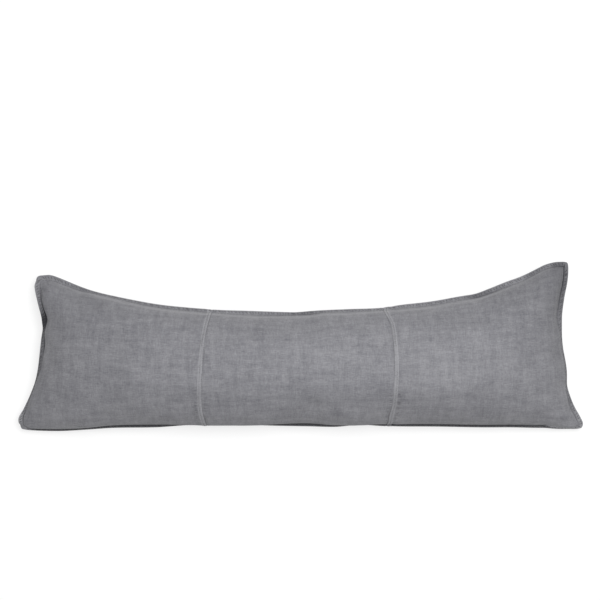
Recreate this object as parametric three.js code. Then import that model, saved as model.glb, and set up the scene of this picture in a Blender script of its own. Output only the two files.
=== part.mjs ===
// Long lumbar pillow in heavy washed linen: a narrow, well filled case with three face panels, a plain back
// and a self flange outside its edge seam. It lies on its back. X runs along its length, +Y towards its upper
// edge and +Z out of its face. Millimetres, with the origin on the floor under the middle of the part.
import * as THREE from "three";
import { mergeVertices } from "three/addons/utils/BufferGeometryUtils.js";

// Driving dimensions
const FLANGE_WIDTH = 12; // margin of cloth outside the edge seam
const FLANGE_THICKNESS = 2.8; // two turned layers of heavy cloth
const END_ROUND = 205; // length over which the crown rises from an end seam to its full height
const SECTION_FULLNESS = 0.94; // 1 is an elliptical section, less is fuller
const BACK_FULLNESS = 0.8; // the back is fuller, pressed wide by the floor
const FLANK_DEPTH = 6; // how far the face's lower flank dips
const FLANK_AT = 0.15; // where it dips most, as a share of the way across
const FLANK_WIDTH = 0.13; // share of the way over which the dip fades
const FLOOR_BLEND = 14; // height over which the back rounds into its flat
const LONG_BULGE_AT = 0.14; // where the face stands furthest over a long seam, as a share of the half turn
const END_TUCK_AT = 0.28; // where the back draws in most beside an end seam, as a share of the end's rise
const FLANGE_TUCK = 7; // how far the back draws in beside a flange that leans right back
const CLOTH_COLOUR = 0x86868b;
const CLOTH_ROUGHNESS = 0.92;
const HALF_WAY = 0.5;
const QUARTER_TURN = Math.PI / 2;

// Numbers of steps in the surface
const END_STEPS = 10; // from an end seam to the full crown
const PANEL_STEPS = 8; // from there to the panel seam, on each outer panel
const MIDDLE_STEPS = 20; // across the middle panel
const ROW_STEPS = 26; // from the bottom seam to the top seam
const FLANGE_STEPS = [1, 0.5]; // shares of the flange's width that have a row of points, from the outside

// Corners of the edge seam: place on the face, height over the floor, how far the flange leans back from the
// face in degrees, and how far the face stands out over a long seam.
const BOTTOM_LEFT = { x: -586.5, y: -165.7, z: 40, lean: 36, bulge: 0 };
const BOTTOM_RIGHT = { x: 590.5, y: -163.5, z: 42, lean: 34, bulge: 0 };
const TOP_LEFT = { x: -549, y: 139.7, z: 46, lean: 8, bulge: 0 };
const TOP_RIGHT = { x: 556, y: 169, z: 48, lean: 16, bulge: 0 };

// How square the flange's corners are, at the bottom and the top: 2 rounds a corner to an arc, more is squarer.
const CORNER_SQUARENESS = {
  left: { bottom: 3, top: 2.5 },
  right: { bottom: 3, top: 4 },
};

// The four edge seams, with the same columns. The top edge is drawn in deeply along its middle and the ends a
// little. The bottom edge is nearly straight, with its flange turned back under the full face. On the left end
// the flange stands up, with a lean under 0, for a short way below the top corner.
const BOTTOM_EDGE = [
  BOTTOM_LEFT,
  { x: -575, y: -171.5, z: 42, lean: 64, bulge: 1 },
  { x: -553, y: -172.5, z: 46, lean: 65, bulge: 2 },
  { x: -510, y: -172.5, z: 53, lean: 65, bulge: 3 },
  { x: -455, y: -169.5, z: 59, lean: 68, bulge: 5 },
  { x: -400, y: -163.5, z: 64.5, lean: 58, bulge: 4 },
  { x: -300, y: -161, z: 70, lean: 56, bulge: 4 },
  { x: -240, y: -160.5, z: 72.5, lean: 78, bulge: 8 },
  { x: -140, y: -160, z: 75.5, lean: 82, bulge: 9 },
  { x: -85, y: -160.5, z: 76, lean: 78, bulge: 8 },
  { x: 20, y: -158, z: 76, lean: 52, bulge: 2 },
  { x: 75, y: -162, z: 75.5, lean: 69, bulge: 6 },
  { x: 125, y: -160, z: 75, lean: 80, bulge: 9 },
  { x: 180, y: -160, z: 73.5, lean: 64, bulge: 4 },
  { x: 285, y: -160, z: 70, lean: 58, bulge: 3 },
  { x: 390, y: -162, z: 65.5, lean: 57, bulge: 3 },
  { x: 445, y: -162, z: 61.5, lean: 55, bulge: 1 },
  { x: 500, y: -163.5, z: 56, lean: 53, bulge: 0 },
  { x: 521, y: -163.5, z: 53, lean: 50, bulge: 1 },
  { x: 543, y: -167, z: 49, lean: 58, bulge: 0 },
  { x: 575, y: -170, z: 45, lean: 72, bulge: 0 },
  BOTTOM_RIGHT,
];
const TOP_EDGE = [
  TOP_LEFT,
  { x: -530, y: 140.5, z: 50, lean: 8, bulge: 0 },
  { x: -515, y: 136, z: 53, lean: 10, bulge: 0 },
  { x: -490, y: 126.5, z: 56.5, lean: 22, bulge: 0 },
  { x: -465, y: 117.5, z: 59.5, lean: 36, bulge: 0 },
  { x: -450, y: 114.5, z: 61, lean: 54, bulge: 1 },
  { x: -420, y: 108, z: 63.5, lean: 66, bulge: 1 },
  { x: -395, y: 102.5, z: 66, lean: 66, bulge: 1 },
  { x: -360, y: 94, z: 69, lean: 58, bulge: 1 },
  { x: -300, y: 82.5, z: 72.5, lean: 53, bulge: 1 },
  { x: -240, y: 76, z: 75, lean: 52, bulge: 1 },
  { x: -170, y: 70.5, z: 77, lean: 51, bulge: 1 },
  { x: -105, y: 67, z: 78.5, lean: 40, bulge: 1 },
  { x: -42, y: 65.5, z: 79, lean: 45, bulge: 1 },
  { x: -10, y: 66, z: 79, lean: 53, bulge: 1 },
  { x: 21, y: 67.5, z: 79, lean: 46, bulge: 1 },
  { x: 52, y: 72, z: 78.5, lean: 62, bulge: 1 },
  { x: 100, y: 73, z: 78, lean: 56, bulge: 1 },
  { x: 180, y: 77, z: 76.5, lean: 58, bulge: 1 },
  { x: 210, y: 80, z: 75.5, lean: 44, bulge: 1 },
  { x: 275, y: 87, z: 73, lean: 41, bulge: 1 },
  { x: 340, y: 98.5, z: 70, lean: 41, bulge: 1 },
  { x: 370, y: 102.5, z: 68, lean: 34, bulge: 1 },
  { x: 400, y: 112.5, z: 65, lean: 12, bulge: 1 },
  { x: 433, y: 125.5, z: 62, lean: 8, bulge: 0 },
  { x: 466, y: 137.5, z: 58.5, lean: 16, bulge: 0 },
  { x: 492, y: 150, z: 55, lean: 24, bulge: 0 },
  { x: 517, y: 162.5, z: 52, lean: 24, bulge: 0 },
  { x: 538, y: 168, z: 50, lean: 18, bulge: 0 },
  TOP_RIGHT,
];
const LEFT_EDGE = [
  BOTTOM_LEFT,
  { x: -587.2, y: -161, z: 41.5, lean: 18 },
  { x: -587.5, y: -155, z: 42.5, lean: 12 },
  { x: -586.5, y: -148, z: 44.5, lean: 22 },
  { x: -581, y: -135, z: 47.5, lean: 45 },
  { x: -576, y: -122, z: 50.5, lean: 56 },
  { x: -571, y: -109, z: 54, lean: 66 },
  { x: -565.5, y: -96, z: 57, lean: 68 },
  { x: -555.5, y: -71, z: 62.5, lean: 68 },
  { x: -545.5, y: -45, z: 65.5, lean: 44 },
  { x: -541, y: -20, z: 67, lean: 36 },
  { x: -536.5, y: 6, z: 68, lean: 24 },
  { x: -538, y: 30, z: 67.5, lean: 55 },
  { x: -535, y: 44, z: 66, lean: 45 },
  { x: -532.7, y: 56.5, z: 64.5, lean: -10 },
  { x: -537, y: 69, z: 62.5, lean: -45 },
  { x: -542, y: 82, z: 60.5, lean: -52 },
  { x: -548.5, y: 107, z: 55, lean: -48 },
  { x: -550, y: 120, z: 52.5, lean: -30 },
  { x: -551, y: 132.5, z: 48.5, lean: 0 },
  TOP_LEFT,
];
const RIGHT_EDGE = [
  BOTTOM_RIGHT,
  { x: 585.5, y: -156, z: 44, lean: 10 },
  { x: 578.5, y: -143, z: 47, lean: 10 },
  { x: 570.3, y: -130, z: 50, lean: 12 },
  { x: 566, y: -118, z: 53, lean: 32 },
  { x: 562.5, y: -105, z: 56, lean: 44 },
  { x: 559.2, y: -92, z: 59, lean: 55 },
  { x: 557, y: -79, z: 62.5, lean: 62 },
  { x: 556, y: -54, z: 67, lean: 60 },
  { x: 552, y: -28, z: 71, lean: 60 },
  { x: 547, y: -3, z: 73, lean: 62 },
  { x: 545, y: 30, z: 72.5, lean: 64 },
  { x: 542, y: 48, z: 71.5, lean: 44 },
  { x: 540, y: 61, z: 70, lean: 30 },
  { x: 542, y: 86, z: 66, lean: 22 },
  { x: 546.5, y: 111, z: 60, lean: 18 },
  { x: 552.7, y: 137, z: 54, lean: 16 },
  { x: 555.5, y: 156, z: 50, lean: 18 },
  TOP_RIGHT,
];

// The two panel seams, which bow out over the crown: places along the length at shares of the way across.
const PANEL_SEAMS = [
  { across: 0, left: -195, right: 181.5 },
  { across: 0.08, left: -198, right: 183.5 },
  { across: 0.18, left: -200.5, right: 187 },
  { across: 0.35, left: -201, right: 188.5 },
  { across: 0.55, left: -198.5, right: 190 },
  { across: 0.75, left: -195, right: 188.5 },
  { across: 0.9, left: -191.5, right: 184.5 },
  { across: 1, left: -187, right: 174.5 },
];

// Relief across a felled panel seam, counted from its ditch out over the allowances on the outer panel.
const SEAM_RELIEF = [
  { out: -5, rise: 0 },
  { out: 0, rise: -1.4 },
  { out: 1.8, rise: 1.3 },
  { out: 7.6, rise: 1.3 },
  { out: 9.2, rise: -0.3 },
  { out: 14, rise: 0 },
];

// Height of the full crown over the edge seams, in front of them and behind, along the length.
const CROWN = [
  { x: -560, front: 84, back: 82 },
  { x: -300, front: 95, back: 96 },
  { x: 0, front: 99, back: 100 },
  { x: 300, front: 97, back: 96 },
  { x: 560, front: 86, back: 82 },
];

// Smooth curves through the named columns of a table, read at any value of its key column.
function smoothTable(rows, key, columns) {
  const curve = new THREE.CubicInterpolant(
    rows.map((row) => row[key]),
    Float64Array.from(rows.flatMap((row) => columns.map((name) => row[name]))),
    columns.length,
  );
  return (at) => {
    const values = curve.evaluate(at);
    return Object.fromEntries(columns.map((name, n) => [name, values[n]]));
  };
}

const { lerp, clamp, degToRad } = THREE.MathUtils;
const bottomAt = smoothTable(BOTTOM_EDGE, "x", ["y", "z", "lean", "bulge"]);
const topAt = smoothTable(TOP_EDGE, "x", ["y", "z", "lean", "bulge"]);
const leftAt = smoothTable(LEFT_EDGE, "y", ["x", "z", "lean"]);
const rightAt = smoothTable(RIGHT_EDGE, "y", ["x", "z", "lean"]);
const panelSeamsAt = smoothTable(PANEL_SEAMS, "across", ["left", "right"]);
const crownAt = smoothTable(CROWN, "x", ["front", "back"]);
const reliefAt = new THREE.LinearInterpolant(
  SEAM_RELIEF.map((row) => row.out),
  Float64Array.from(SEAM_RELIEF.map((row) => row.rise)),
  1,
);

// The ends and the panel seams at one share of the way across, from the left to the right.
function ribsAt(across) {
  const seams = panelSeamsAt(across);
  return [
    leftAt(lerp(BOTTOM_LEFT.y, TOP_LEFT.y, across)).x,
    seams.left,
    seams.right,
    rightAt(lerp(BOTTOM_RIGHT.y, TOP_RIGHT.y, across)).x,
  ];
}

// The same on the bottom and top edges, and half way across, where the stations along the length are laid out.
const BOTTOM_RIBS = ribsAt(0);
const TOP_RIBS = ribsAt(1);
const MIDDLE_RIBS = ribsAt(HALF_WAY);
const [LEFT_END, LEFT_SEAM, RIGHT_SEAM, RIGHT_END] = MIDDLE_RIBS;

// Where a station lies along the length, among the given ribs.
function placeAlong(ribs, along) {
  return new THREE.CubicInterpolant(MIDDLE_RIBS, Float64Array.from(ribs), 1).evaluate(along)[0];
}

// A station: how far along it lies, how far out on an end's flange, with a minus on the left, its part of the
// crown's rise from the nearer end, and the relief of the panel seam there.
function makeStation(along, flange = 0) {
  const fromEnd = Math.min(along - LEFT_END, RIGHT_END - along);
  const inRound = 1 - clamp(fromEnd / END_ROUND, 0, 1);
  return {
    along,
    flange,
    rise: Math.sqrt(1 - inRound * inRound),
    relief: reliefAt.evaluate(LEFT_SEAM - along)[0] + reliefAt.evaluate(along - RIGHT_SEAM)[0],
  };
}

// Evenly spaced places from one to another, without the first.
function steps(from, to, count) {
  return Array.from({ length: count }, (_, n) => lerp(from, to, (n + 1) / count));
}

// The stations from the left flange to the right one, close together at the ends and on the panel seams.
function lengthStations() {
  const endRound = steps(0, QUARTER_TURN, END_STEPS).map((turn) => END_ROUND * (1 - Math.cos(turn)));
  const outs = SEAM_RELIEF.map((row) => row.out);
  const bandInner = outs[0];
  const bandOuter = outs[outs.length - 1];
  const body = [
    LEFT_END,
    ...endRound.map((inward) => LEFT_END + inward),
    ...steps(LEFT_END + END_ROUND, LEFT_SEAM - bandOuter, PANEL_STEPS).slice(0, -1),
    ...outs.toReversed().map((out) => LEFT_SEAM - out),
    ...steps(LEFT_SEAM - bandInner, RIGHT_SEAM + bandInner, MIDDLE_STEPS).slice(0, -1),
    ...outs.map((out) => RIGHT_SEAM + out),
    ...steps(RIGHT_SEAM + bandOuter, RIGHT_END - END_ROUND, PANEL_STEPS).slice(0, -1),
    ...endRound.toReversed().map((inward) => RIGHT_END - inward),
    RIGHT_END,
  ];
  return [
    ...FLANGE_STEPS.map((share) => makeStation(LEFT_END, -share)),
    ...body.map((along) => makeStation(along)),
    ...FLANGE_STEPS.toReversed().map((share) => makeStation(RIGHT_END, share)),
  ];
}

// Rows from the bottom seam to the top seam, with the flange's rows beyond them. Each tells its share of the
// half turn that the section makes, how far out on the flange it lies, with a minus at the bottom, and its
// share of the way across the face.
function crossRows() {
  const makeRow = (turn, flange = 0) => ({ turn, flange, across: (1 - Math.cos(Math.PI * turn)) / 2 });
  return [
    ...FLANGE_STEPS.map((share) => makeRow(0, -share)),
    makeRow(0),
    ...steps(0, 1, ROW_STEPS).map((turn) => makeRow(turn)),
    ...FLANGE_STEPS.toReversed().map((share) => makeRow(1, share)),
  ];
}

// Where the seamed edges alone would put a station and row: on the flat sheet that spans the four edge seams.
function sheetPoint(station, row) {
  const x = placeAlong(ribsAt(row.across), station.along);
  const bottom = bottomAt(placeAlong(BOTTOM_RIBS, station.along));
  const top = topAt(placeAlong(TOP_RIBS, station.along));
  const y = lerp(bottom.y, top.y, row.across);
  const end = station.along < 0 ? leftAt(y) : rightAt(y);
  const z = lerp(end.z, lerp(bottom.z, top.z, row.across), station.rise);
  return { point: new THREE.Vector3(x, y, z), bottom, top, end };
}

// How far the face stands out over a seam, rising to its most at a share of the way and fading beyond it.
function bulgeShape(share, mostAt) {
  return (share / mostAt) * Math.exp(1 - share / mostAt);
}

// Zero for heights under the floor, the height itself well above it, and a smooth round between.
function restOnFloor(height) {
  const over = clamp((height + FLOOR_BLEND) / (2 * FLOOR_BLEND), 0, 1);
  return height > FLOOR_BLEND ? height : FLOOR_BLEND * over * over;
}

// A point of the filled part, inside the edge seams, on the face (side 1) or the back (side -1).
function bodyPoint(station, row, side) {
  const { point, bottom, top, end } = sheetPoint(station, row);
  const turnRise = Math.sin(Math.PI * row.turn);
  const endTurn = Math.asin(station.rise) / QUARTER_TURN;
  const bottomShape = bulgeShape(row.turn, LONG_BULGE_AT) * station.rise;
  const topShape = bulgeShape(1 - row.turn, LONG_BULGE_AT) * station.rise;
  const endShape = bulgeShape(endTurn, END_TUCK_AT) * turnRise * Math.sign(station.along);
  const crown = crownAt(point.x);
  if (side > 0) {
    point.y += top.bulge * topShape - bottom.bulge * bottomShape;
    const dip = FLANK_DEPTH * Math.exp(-(((row.across - FLANK_AT) / FLANK_WIDTH) ** 2)) * turnRise;
    const height = crown.front * turnRise ** SECTION_FULLNESS - dip;
    point.z += FLANGE_THICKNESS / 2 + height * station.rise + station.relief;
    return point;
  }
  const tuckOf = (edge) => FLANGE_TUCK * Math.sin(degToRad(edge.lean));
  point.x -= tuckOf(end) * endShape;
  point.y += tuckOf(bottom) * bottomShape - tuckOf(top) * topShape;
  const depth = crown.back * turnRise ** BACK_FULLNESS * station.rise;
  point.z = restOnFloor(point.z - FLANGE_THICKNESS / 2 - depth);
  return point;
}

// Directions of a flange that leans back: out along its width, and square to its face side.
function flangeFrame(outward, leanDegrees) {
  const lean = degToRad(leanDegrees);
  const up = new THREE.Vector3(0, 0, 1);
  return {
    out: outward.clone().multiplyScalar(Math.cos(lean)).addScaledVector(up, -Math.sin(lean)),
    face: outward.clone().multiplyScalar(Math.sin(lean)).addScaledVector(up, Math.cos(lean)),
  };
}

// A point of the edge seam or of the flange outside it, on the face side (1) or the back side (-1).
function flangePoint(station, row, side) {
  const { point, bottom, top, end } = sheetPoint(station, row);
  const atEnd = station.rise === 0;
  const atLongEdge = row.turn === 0 || row.turn === 1;
  const longEdge = row.turn < HALF_WAY ? bottom : top;
  const endFrame = flangeFrame(new THREE.Vector3(Math.sign(station.along), 0, 0), end.lean);
  const longFrame = flangeFrame(new THREE.Vector3(0, Math.sign(row.turn - HALF_WAY), 0), longEdge.lean);
  const endShare = Math.abs(station.flange);
  const longShare = Math.abs(row.flange);
  const most = Math.max(endShare, longShare);
  const corners = station.along < 0 ? CORNER_SQUARENESS.left : CORNER_SQUARENESS.right;
  const squareness = row.turn < HALF_WAY ? corners.bottom : corners.top;
  const spread = (endShare ** squareness + longShare ** squareness) ** (1 / squareness);
  const rounding = most > 0 ? most / spread : 0;
  const face = new THREE.Vector3()
    .addScaledVector(endFrame.face, atEnd ? 1 : 0)
    .addScaledVector(longFrame.face, atLongEdge ? 1 : 0)
    .normalize();
  const relief = side > 0 ? station.relief : 0;
  return point
    .addScaledVector(endFrame.out, FLANGE_WIDTH * endShare * rounding)
    .addScaledVector(longFrame.out, FLANGE_WIDTH * longShare * rounding)
    .addScaledVector(face, (side * FLANGE_THICKNESS) / 2 + relief);
}

// The filled case: a box with a grid of points on its two large sides, each moved to its place on the cloth.
function filledCase() {
  const stations = lengthStations();
  const rows = crossRows();
  const alongSteps = stations.length - 1;
  const acrossSteps = rows.length - 1;
  const box = new THREE.BoxGeometry(1, 1, 1, alongSteps, acrossSteps, 1);
  box.deleteAttribute("normal");
  box.deleteAttribute("uv");
  box.clearGroups();
  const cloth = mergeVertices(box);
  const points = cloth.getAttribute("position");
  for (let n = 0; n < points.count; n += 1) {
    const station = stations[Math.round((points.getX(n) + HALF_WAY) * alongSteps)];
    const row = rows[Math.round((points.getY(n) + HALF_WAY) * acrossSteps)];
    const side = Math.sign(points.getZ(n));
    const onEdge = station.rise === 0 || row.turn === 0 || row.turn === 1;
    const place = onEdge ? flangePoint(station, row, side) : bodyPoint(station, row, side);
    points.setXYZ(n, place.x, place.y, place.z);
  }
  cloth.computeBoundingBox();
  const middle = cloth.boundingBox.getCenter(new THREE.Vector3());
  cloth.translate(-middle.x, -middle.y, -cloth.boundingBox.min.z);
  cloth.computeVertexNormals();
  return cloth;
}

const linen = new THREE.MeshStandardMaterial({
  color: CLOTH_COLOUR,
  roughness: CLOTH_ROUGHNESS,
  metalness: 0,
});
const pillow = new THREE.Mesh(filledCase(), linen);
pillow.name = "pillow";

const part = new THREE.Group();
part.add(pillow);
export default part;
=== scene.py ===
"""Long lumbar pillow in grey washed linen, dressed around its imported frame.

The filled case lies on its back with its face up. X runs along its length, +Y towards its upper edge and
+Z out of its face. The camera looks straight down on the face. Metres throughout.
"""

import logging
import math
from dataclasses import dataclass, field, fields
from enum import Enum
from typing import Any, Sequence

import bmesh
import bpy
import numpy as np
from mathutils import Matrix, Vector, noise
from mathutils.bvhtree import BVHTree


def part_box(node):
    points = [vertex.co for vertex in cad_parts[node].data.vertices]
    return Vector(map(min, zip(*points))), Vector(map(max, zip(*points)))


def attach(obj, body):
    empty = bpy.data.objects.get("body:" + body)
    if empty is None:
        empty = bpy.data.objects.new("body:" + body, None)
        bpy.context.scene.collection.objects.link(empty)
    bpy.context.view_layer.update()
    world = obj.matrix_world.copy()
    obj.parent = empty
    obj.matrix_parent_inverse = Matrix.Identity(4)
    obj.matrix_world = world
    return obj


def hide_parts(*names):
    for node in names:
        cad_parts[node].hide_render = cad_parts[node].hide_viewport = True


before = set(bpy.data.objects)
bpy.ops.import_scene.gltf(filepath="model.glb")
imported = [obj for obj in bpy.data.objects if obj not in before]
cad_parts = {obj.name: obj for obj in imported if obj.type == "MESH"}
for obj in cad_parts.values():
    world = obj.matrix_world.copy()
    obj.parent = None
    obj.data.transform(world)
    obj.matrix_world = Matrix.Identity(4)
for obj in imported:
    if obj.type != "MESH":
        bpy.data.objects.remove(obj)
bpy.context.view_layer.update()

NODE = "pillow"
BODY = "root"
UV_MAP = "cut_cloth"
# Mesh mark for paleness: wear on the seams, and painted light where the painted shade falls below 0.
WORN_AND_PAINTED_LIGHT = "worn"
# Mesh mark for painted shade, which darkens the linen and its thread.
PAINTED_SHADE = "crease"
# Mesh mark for where the painted shade ticks of gathering beside the seams go.
PAINTED_GATHER_SHADE = "gather"
GRID_MARKS = ("station", "row")
CLOTH_MARKS = ("far_along", "far_across")
TINY = 1e-9

Columns = dict[str, np.ndarray]

log = logging.getLogger("pillow")


class Side(Enum):
    """The two faces of the case."""

    FACE = 1.0
    BACK = -1.0


@dataclass(frozen=True)
class EdgePoint:
    """A point of an edge seam: its place, the flange's lean in degrees and the face's stand over it."""

    x: float
    y: float
    z: float
    lean: float
    bulge: float = 0.0


@dataclass(frozen=True)
class PanelSeams:
    """Where the two panel seams lie along the length, at a share of the way across the face."""

    across: float
    left: float
    right: float


@dataclass(frozen=True)
class Crown:
    """Height of the full crown in front of the edge seams and behind them, at a place along the length."""

    x: float
    front: float
    back: float


@dataclass(frozen=True)
class EdgeShade:
    """Painted shade at a place along an edge: of the flange, of its root, and falling off over the face."""

    at: float
    flange: float
    root: float
    fall: float = 0.0


@dataclass(frozen=True)
class Bump:
    """A smooth bump over a line of values: where it stands, how wide it is and how high."""

    at: float
    width: float
    height: float = 1.0

    def over(self, values: np.ndarray) -> np.ndarray:
        """Return the bump's height at the values."""
        return self.height * np.exp(-(((values - self.at) / self.width) ** 2))


@dataclass(frozen=True)
class SoftWave:
    """A soft unevenness of the cloth: its feature sizes along the axes, its noise's shift and its height."""

    sizes: tuple[float, float, float]
    shift: float
    height: float = 1.0

    def over(self, points: np.ndarray) -> np.ndarray:
        """Return how far the cloth stands above its smooth form at points, or below it."""
        places = points / np.asarray(self.sizes) + self.shift
        return self.height * np.array([noise.noise(Vector(place)) for place in places])


@dataclass(frozen=True)
class SoftPatch:
    """An oval patch of the cloth, turned by degrees, whose amount falls off round its middle."""

    x: float
    y: float
    turn: float
    length: float
    width: float
    amount: float

    def over(self, points: np.ndarray) -> np.ndarray:
        """Work out how much of the patch's amount points take.

        Args:
            points: the points, one row each.

        Returns:
            An amount for each point.
        """
        angle = math.radians(self.turn)
        x, y = points[:, 0] - self.x, points[:, 1] - self.y
        near_along = (x * math.cos(angle) + y * math.sin(angle)) / self.length
        near_across = (y * math.cos(angle) - x * math.sin(angle)) / self.width
        return self.amount * np.exp(-(near_along**2) - near_across**2)


def read_curve(keys: np.ndarray, values: np.ndarray, at: np.ndarray) -> np.ndarray:
    """Read a smooth curve whose slope at a key is the mean of the slopes on its two sides.

    Args:
        keys: places of the known values, rising.
        values: the known values, one row for each key, with one column or one for each place read.
        at: the places to read.

    Returns:
        The curve's values at those places.
    """
    known = values if values.ndim == 2 else np.repeat(values[:, None], len(at), axis=1)
    gaps = np.diff(keys)
    secants = np.diff(known, axis=0) / gaps[:, None]
    slopes = np.concatenate((secants[:1], (secants[1:] + secants[:-1]) / 2, secants[-1:]))
    inside = np.clip(at, keys[0], keys[-1])
    cell = np.clip(np.searchsorted(keys, inside, side="right") - 1, 0, len(gaps) - 1)
    column = np.arange(len(at))
    step = gaps[cell]
    share = (inside - keys[cell]) / step
    rest = 1 - share
    return (
        known[cell, column] * (1 + 2 * share) * rest**2
        + known[cell + 1, column] * (3 - 2 * share) * share**2
        + step * share * rest * (slopes[cell, column] * rest - slopes[cell + 1, column] * share)
    )


def either(chosen: np.ndarray, here: Columns, there: Columns) -> Columns:
    """Return the columns of one table where they are chosen, and of another elsewhere."""
    return {name: np.where(chosen, here[name], there[name]) for name in here}


class SmoothTable:
    """Smooth curves through the columns of a short table."""

    def __init__(self, rows: Sequence[Any], key: str) -> None:
        """Keep the table's columns.

        Args:
            rows: dataclass rows, in rising order of the key column.
            key: name of the key column.
        """
        names = [column.name for column in fields(rows[0])]
        self.columns = {name: np.array([getattr(row, name) for row in rows]) for name in names}
        self.keys = self.columns[key]

    def read(self, at: np.ndarray) -> Columns:
        """Return every column at the given places of the key column."""
        return {name: read_curve(self.keys, known, at) for name, known in self.columns.items()}


def read_points(mesh: bpy.types.Mesh) -> np.ndarray:
    """Return where a mesh's points lie, one row each."""
    return np.array([point.co for point in mesh.vertices], float)


def write_points(mesh: bpy.types.Mesh, points: np.ndarray) -> None:
    """Move a mesh's points."""
    mesh.vertices.foreach_set("co", points.astype(np.float32).ravel())
    mesh.update()


def read_normals(mesh: bpy.types.Mesh) -> np.ndarray:
    """Return the directions square to a mesh at its points, one row each."""
    return np.array([normal.vector for normal in mesh.vertex_normals], float)


def store(mesh: bpy.types.Mesh, name: str, values: np.ndarray) -> None:
    """Keep a number for each point of a mesh."""
    kept = mesh.attributes.get(name) or mesh.attributes.new(name, "FLOAT", "POINT")
    kept.data.foreach_set("value", values.astype(np.float32))


def recall(mesh: bpy.types.Mesh, name: str) -> np.ndarray:
    """Read a number that is kept for each point of a mesh.

    Args:
        mesh: the mesh.
        name: what the number is kept as.

    Returns:
        The numbers.
    """
    values = np.zeros(len(mesh.vertices), np.float32)
    mesh.attributes[name].data.foreach_get("value", values)
    return values.astype(float)


@dataclass
class Spots:
    """Places on the cloth, one entry each in arrays of the same length.

    along is the place along the length as it lies half way across, and turn the share of the half turn from
    the bottom seam to the top seam. end_flange and long_flange are how far out a spot lies on a flange, with
    a minus on the left and at the bottom. side is 1 on the face and -1 on the back.
    """

    along: np.ndarray
    turn: np.ndarray
    end_flange: np.ndarray
    long_flange: np.ndarray
    side: np.ndarray

    @classmethod
    def of(cls, mesh: bpy.types.Mesh) -> "Spots":
        """Return the places that a mesh keeps for its points."""
        return cls(*(recall(mesh, column.name) for column in fields(cls)))

    @property
    def across(self) -> np.ndarray:
        """Share of the straight way across the face."""
        return (1 - np.cos(np.pi * self.turn)) / 2

    @property
    def turn_rise(self) -> np.ndarray:
        """Share of the crown's rise from the nearer long seam."""
        return np.sin(np.pi * np.clip(self.turn, 0, 1))

    @property
    def flange(self) -> np.ndarray:
        """How far out on any flange."""
        return np.maximum(np.abs(self.end_flange), np.abs(self.long_flange))

    @property
    def on_long_seam(self) -> np.ndarray:
        """Whether a spot lies on a long seam or on the flange outside it."""
        return (self.turn <= 0) | (self.turn >= 1)

    @property
    def below(self) -> np.ndarray:
        """Whether a spot lies nearer the bottom seam than the top seam."""
        return self.turn < 0.5

    def by_corner(self, values: Sequence[float]) -> np.ndarray:
        """Return the nearest corner's value, from those of the two lower corners and the two upper ones."""
        return np.array(values)[(self.along >= 0) + 2 * ~self.below]


@dataclass
class Sheet:
    """Where the seamed edges alone put spots, their rise from the nearer end and the edges beside them."""

    points: np.ndarray
    rise: np.ndarray
    bottom: Columns
    top: Columns
    end: Columns


BOTTOM_LEFT = EdgePoint(-0.5865, -0.1657, 0.040, 36)
BOTTOM_RIGHT = EdgePoint(0.5905, -0.1635, 0.042, 34)
TOP_LEFT = EdgePoint(-0.549, 0.1397, 0.046, 8)
TOP_RIGHT = EdgePoint(0.556, 0.169, 0.048, 16)


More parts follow.
